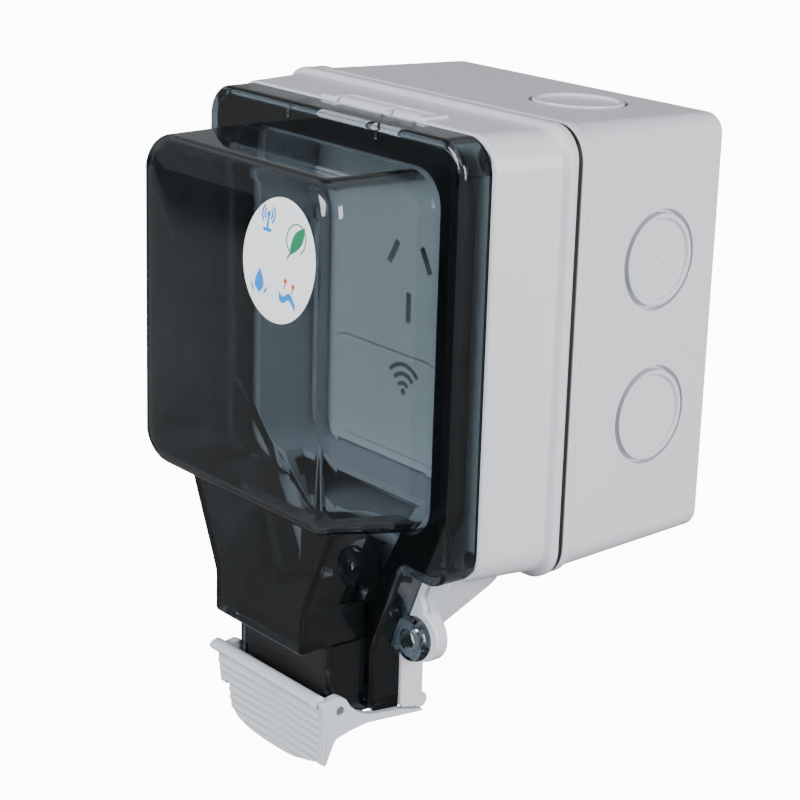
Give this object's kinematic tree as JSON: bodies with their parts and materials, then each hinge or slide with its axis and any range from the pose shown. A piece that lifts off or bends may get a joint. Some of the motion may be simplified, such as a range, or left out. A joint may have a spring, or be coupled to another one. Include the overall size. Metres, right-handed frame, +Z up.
{
  "type": "smart plug",
  "caption": "Weatherproof wall-mounted smart socket: grey back box and frame, hinged smoked cover with a cable outlet and latch lever, switched socket face with push button.",
  "frame": {"origin": "centre of the back box's rear face, which lies on the wall", "axes": "+X right as seen from the front, +Y into the wall, +Z up; the socket faces -Y"},
  "size_m": [0.118, 0.1216, 0.1749],
  "materials": {
    "grey_shell": "fine satin, pale cool grey",
    "smoke_cover": "smoked translucent polycarbonate, glossy",
    "black_rubber": "matt",
    "latch_grey": "satin, pale cool grey",
    "steel": "plain",
    "brass": "plain",
    "white_plastic": "satin gloss",
    "board_green": "solder resist",
    "black_plastic": "matt",
    "blue_plastic": "matt",
    "yellow_tape": "matt",
    "clear_plastic": "clear to milky",
    "label_print": null
  },
  "bodies": {
    "base": {"back_box": "grey_shell", "box_gasket": "black_rubber", "front_frame": "grey_shell", "hinge_pin": "steel", "face_plate": "white_plastic", "module_housing": "white_plastic", "contact_active": "brass", "contact_neutral": "brass", "contact_earth": "brass", "terminal_active": "brass", "terminal_screw_active": "steel", "terminal_earth": "brass", "terminal_screw_earth": "steel", "terminal_neutral": "brass", "terminal_screw_neutral": "steel", "main_board": "board_green", "button_board": "board_green", "board_header": "black_plastic", "tact_switch": "black_plastic", "button_pad": "clear_plastic", "status_led": "clear_plastic", "wifi_module": "steel", "relay": "blue_plastic", "transformer": "yellow_tape", "capacitor": "black_plastic", "varistor": "blue_plastic", "fuse": "clear_plastic", "frame_screw_1": "steel", "frame_screw_2": "steel", "frame_screw_3": "steel", "frame_screw_4": "steel", "module_screw_1": "steel", "module_screw_2": "steel"},
    "cover": {"cover": "smoke_cover", "cover_gasket": "black_rubber", "cable_seal": "black_rubber", "label_disc": "label_print", "latch_pin": "steel"},
    "latch": {"latch_lever": "latch_grey"},
    "button": {"push_button": "white_plastic"}
  },
  "joints": [
    {"name": "cover_hinge", "type": "hinge", "parent": "base", "child": "cover", "pos_m": [0, -0.075, 0.0563], "axis": [-1, 0, 0], "range_deg": [0, 100]},
    {"name": "latch_pivot", "type": "hinge", "parent": "cover", "child": "latch", "pos_m": [0, -0.0991, -0.0969], "axis": [-1, 0, 0], "range_deg": [0, 40]},
    {"name": "button_press", "type": "slide", "parent": "base", "child": "button", "axis": [0, 1, 0], "range_m": [0, 0.0012], "stiffness_N_per_m": 900}
  ]
}
